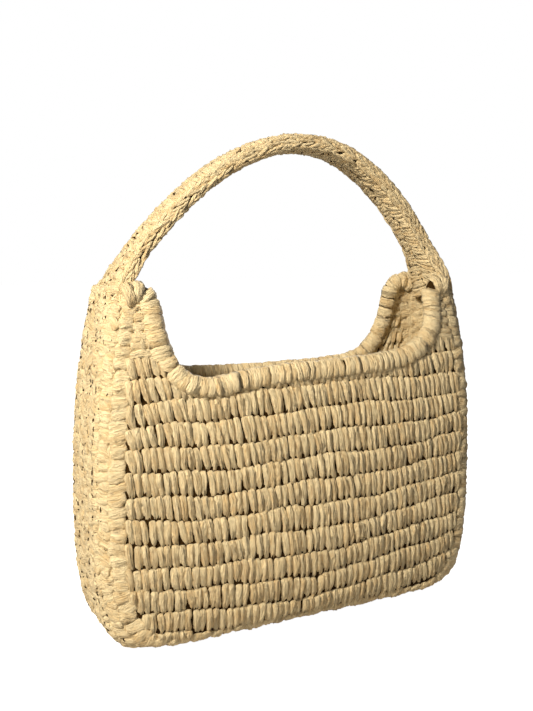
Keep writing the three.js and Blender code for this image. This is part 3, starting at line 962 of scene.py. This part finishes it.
def strap_place(face):
    """One face of the strap, by mm along it and across it: face is 1 for the outside and -1 for the
    inside."""
    def place(s, across):
        x, z, out_x, out_z = strap_at(s)
        share = across / STRAP_EDGE
        lift = face * (STRAP_HALF_THICK - 1.6) * (1 - 0.3 * np.clip(np.abs(share), 0, 1.2) ** 4)
        y = share * strap_half_width(z)
        points = np.stack([x + out_x * lift, y, z + out_z * lift], -1)
        return points, np.stack([face * out_x, 0.3 * np.sign(share), face * out_z], -1)
    return place


# %% The strap's faces
STRAP_PITCH = 6.4  # from one stitch to the next
SLITS_A_FACE = 190


def strap_stitches(rng):
    """Three rows outside and two slanted columns inside."""
    parts = []
    for face, edges, slant in ((1, (-15.5, -5.2, 5.2, 15.5), 0.8), (-1, (-15.5, 0, 15.5), 3.0)):
        starts, ends = [], []
        for i in range(len(edges) - 1):
            s = np.arange(8, STRAP_LENGTH - 8, STRAP_PITCH) + rng.uniform(0, STRAP_PITCH)
            s = s + rng.normal(0, 0.7, len(s))
            way = slant * (1 if i % 2 else -1) + rng.normal(0, 0.6, len(s))
            starts.append(np.stack([s - way, edges[i] - 0.6 + rng.normal(0, 0.6, len(s))], 1))
            ends.append(np.stack([s + way, edges[i + 1] + 0.6 + rng.normal(0, 0.6, len(s))], 1))
        starts, ends = np.concatenate(starts), np.concatenate(ends)
        widths = STRAP_PITCH * rng.uniform(0.56, 0.74, len(starts))
        starts, ends, widths = two_strands(starts, ends, widths, rng)
        lift = rng.normal(0, 0.6, (len(starts), 1, 1))
        bend = rng.normal(0, 0.8, len(starts))
        paths, normals = lay_lines(strap_place(face), starts, ends, tilt=lift, bend=bend, puff=0.4)
        thick = rng.uniform(1.8, 2.6, len(starts))
        parts.append((make_bars(paths, normals, widths, thick, rng, bluntness=4.0), 0))
    return parts


def strap_slits(rng):
    """Slits between the stitches of both faces, as near-black bars of painted shade."""
    parts = []
    for face in (1, -1):
        s = rng.uniform(12, STRAP_LENGTH - 12, SLITS_A_FACE)
        across = rng.choice([-11.0, -5.2, 0.0, 5.2, 11.0], len(s)) + rng.normal(0, 1.0, len(s))
        half = 0.8 + rng.gamma(2.0, 0.5, len(s))
        slant = rng.normal(0, 0.8, len(s))
        starts = np.stack([s - half, across - slant], 1)
        ends = np.stack([s + half, across + slant], 1)
        paths, normals = lay_lines(strap_place(face), starts, ends)
        widths = rng.uniform(0.35, 0.75, len(s))
        parts.append((make_bars(paths + normals * 0.5, normals, widths, np.full(len(s), 1.6), rng,
                                section=SLIT_SECTION, fold=0.0), 1))
    return parts


def strap_core():
    """The tube's own wall behind its stitches, near black as painted shade."""
    x, z, out_x, out_z = (c[:, None] for c in strap_at(np.linspace(9, STRAP_LENGTH - 9, 200)))
    turn = np.linspace(0, 2 * np.pi, 25)
    # a power below 1 makes the section boxy
    y = (strap_half_width(z) + 0.5) * np.sign(np.cos(turn)) * np.abs(np.cos(turn)) ** 0.6
    lift = (STRAP_HALF_THICK - 1.8) * np.sign(np.sin(turn)) * np.abs(np.sin(turn)) ** 0.6
    return make_tube(np.stack([x + out_x * lift, y, z + out_z * lift], -1), 1.0)


# the slits and the core take the finish with painted shade
strap = make_piece("strap_stitches", strap_stitches(rng) + strap_slits(rng) + [(strap_core(), 1)], STRAW)


# %% The tape inside the strap
TAPE_HALF, RIB = 8.75, 2.5  # the outer ribs' distance from the middle, and rib to rib
RIB_HALF_WIDTH, RIB_HALF_THICK = 1.2, 1.9


def tape_ribs():
    """Flat ribs of woven cotton, side by side."""
    x, z, out_x, out_z = (c[:, None] for c in strap_at(np.arange(14, STRAP_LENGTH - 14, 3.0)))
    turn = np.linspace(0, 2 * np.pi, 9)
    ribs = []
    for across in np.arange(-TAPE_HALF, TAPE_HALF + 0.1, RIB):
        y = across + RIB_HALF_WIDTH * np.cos(turn) + 0 * x
        lift = RIB_HALF_THICK * np.sin(turn)
        ribs.append((make_tube(np.stack([x + out_x * lift, y, z + out_z * lift], -1), 1.0), 0))
    return ribs


strap_tape = make_piece("strap_tape_ribs", tape_ribs(), [cotton])


# %% The chains along the strap's edges
CHAIN_HALF_HIGH, CHAIN_OUT = 5.2, 2.2  # how far the chain reaches up the edge, and how far past it
LINK, LINK_HALF = 8.5, 6.5  # link to link, and half a link's length: the links overlap


def chain(side, rng):
    """Four rows of overlapping links along one edge of the strap: side is -1 at the front."""
    def place(s, round_mm):
        x, z, out_x, out_z = strap_at(s)
        angle = round_mm / 5.0
        y = side * (strap_half_width(z) + 0.2 + CHAIN_OUT * np.cos(angle))
        lift = CHAIN_HALF_HIGH * np.sin(angle)
        outward = np.stack([out_x * np.sin(angle), side * np.cos(angle), out_z * np.sin(angle)], -1)
        return np.stack([x + out_x * lift, y, z + out_z * lift], -1), outward
    starts, ends = [], []
    for row, round_mm in enumerate((-5.0, -1.8, 1.4, 4.6)):
        s = np.arange(10, STRAP_LENGTH - 12, LINK) + rng.uniform(0, LINK)
        s = s[s < STRAP_LENGTH - 12]
        s = s + rng.normal(0, 1.0, len(s))
        shift = 1.3 if row % 2 else -1.3
        starts.append(np.stack([s - LINK_HALF, round_mm - shift + rng.normal(0, 0.5, len(s))], 1))
        ends.append(np.stack([s + LINK_HALF, round_mm + shift + rng.normal(0, 0.5, len(s))], 1))
    starts, ends = np.concatenate(starts), np.concatenate(ends)
    lift = rng.normal(0.3, 0.4, (len(starts), 1, 1))
    paths, normals = lay_lines(place, starts, ends, tilt=lift)
    thick = rng.uniform(1.4, 2.1, len(starts))
    return make_bars(paths, normals, rng.uniform(1.3, 2.1, len(starts)), thick, rng)


front_chain = make_piece("strap_front_chain", [(chain(-1, rng), 0)], STRAW)
back_chain = make_piece("strap_back_chain", [(chain(1, rng), 0)], STRAW)

# %% The strap's pieces in place of its solids
for piece, nodes, slot in ((strap, ("strap", "left_strap_root", "right_strap_root"), "straw_band"),
                           (strap_tape, ("strap_tape",), "cotton_filler"),
                           (front_chain, ("strap_front_braid",), "straw_wraps"),
                           (back_chain, ("strap_back_braid",), "straw_wraps")):
    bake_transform(piece)
    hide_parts(*nodes)


# %% [markdown]
# ## Floor, light and camera
# A plain pale floor, a lamp at the front left, and a weak wide one behind on the right, so that the
# far sides keep their colour. The lamp is 200 mm across and near: its shadows stay clear enough to
# draw every strand, and its light falls off towards the bag's right and foot. The sky gives only
# weak light. The camera itself sees the floor and the sky as plain white.

# %% Floor
def floor_material():
    """Matt white paint, greyer to the light than to the camera, so that little light bounces up."""
    material = bpy.data.materials.new("matt_white_paint")
    material.use_nodes = True
    shader = material.node_tree.nodes["Principled BSDF"]
    shader.inputs["Base Color"].default_value = linear("#CBC8C3")
    shader.inputs["Roughness"].default_value = 0.9
    shader.inputs["Emission Color"].default_value = linear("#FFFFFF")
    ray = add_node(material.node_tree, "ShaderNodeLightPath")
    material.node_tree.links.new(ray.outputs["Is Camera Ray"], shader.inputs["Emission Strength"])
    return material


floor_mesh = bpy.data.meshes.new("floor")
floor_mesh.from_pydata([(-6, -6, 0), (6, -6, 0), (6, 6, 0), (-6, 6, 0)], [], [(0, 1, 2, 3)])
floor_mesh.materials.append(floor_material())
floor = bpy.data.objects.new("floor", floor_mesh)
bpy.context.scene.collection.objects.link(floor)


# %% Lights
def soft_light(name, place, size, power, colour="#FFFFFF"):
    """A square lamp of this size in metres, aimed at the middle of the bag."""
    light = bpy.data.lights.new(name, "AREA")
    light.size = size
    light.energy = power
    light.color = linear(colour)[:3]
    lamp = bpy.data.objects.new(name, light)
    lamp.location = place
    aim = Vector((0, 0, 0.2)) - Vector(place)
    lamp.rotation_euler = aim.to_track_quat("-Z", "Y").to_euler()
    bpy.context.scene.collection.objects.link(lamp)


soft_light("key_front_left", (-0.72, -0.47, 0.8), 0.2, 17, "#FFF4E2")
soft_light("fill_back_right", (0.75, 0.8, 0.6), 0.5, 7, "#FFFAF2")
world = bpy.data.worlds.new("studio")
world.use_nodes = True
world.node_tree.nodes.clear()
ray = add_node(world.node_tree, "ShaderNodeLightPath")
soft = add_node(world.node_tree, "ShaderNodeBackground", {"Color": linear("#F4F6FF"), "Strength": 0.11})
seen = add_node(world.node_tree, "ShaderNodeBackground", {"Color": linear("#FFFFFF"), "Strength": 1.0})
either = add_node(world.node_tree, "ShaderNodeMixShader", {},
                  {0: ray.outputs["Is Camera Ray"], 1: soft.outputs[0], 2: seen.outputs[0]})
add_node(world.node_tree, "ShaderNodeOutputWorld", {}, {"Surface": either.outputs[0]})
bpy.context.scene.world = world
bpy.context.scene.view_settings.view_transform = "Standard"

# %% Camera
camera_data = bpy.data.cameras.new("camera")
camera_data.lens = 43.3
camera = bpy.data.objects.new("camera", camera_data)
camera.location = (-0.3499, -0.6517, 0.3217)
camera_aim = Vector((-0.0172, 0.0, 0.2251)) - camera.location
camera.rotation_euler = camera_aim.to_track_quat("-Z", "Y").to_euler()
bpy.context.scene.collection.objects.link(camera)
bpy.context.scene.camera = camera
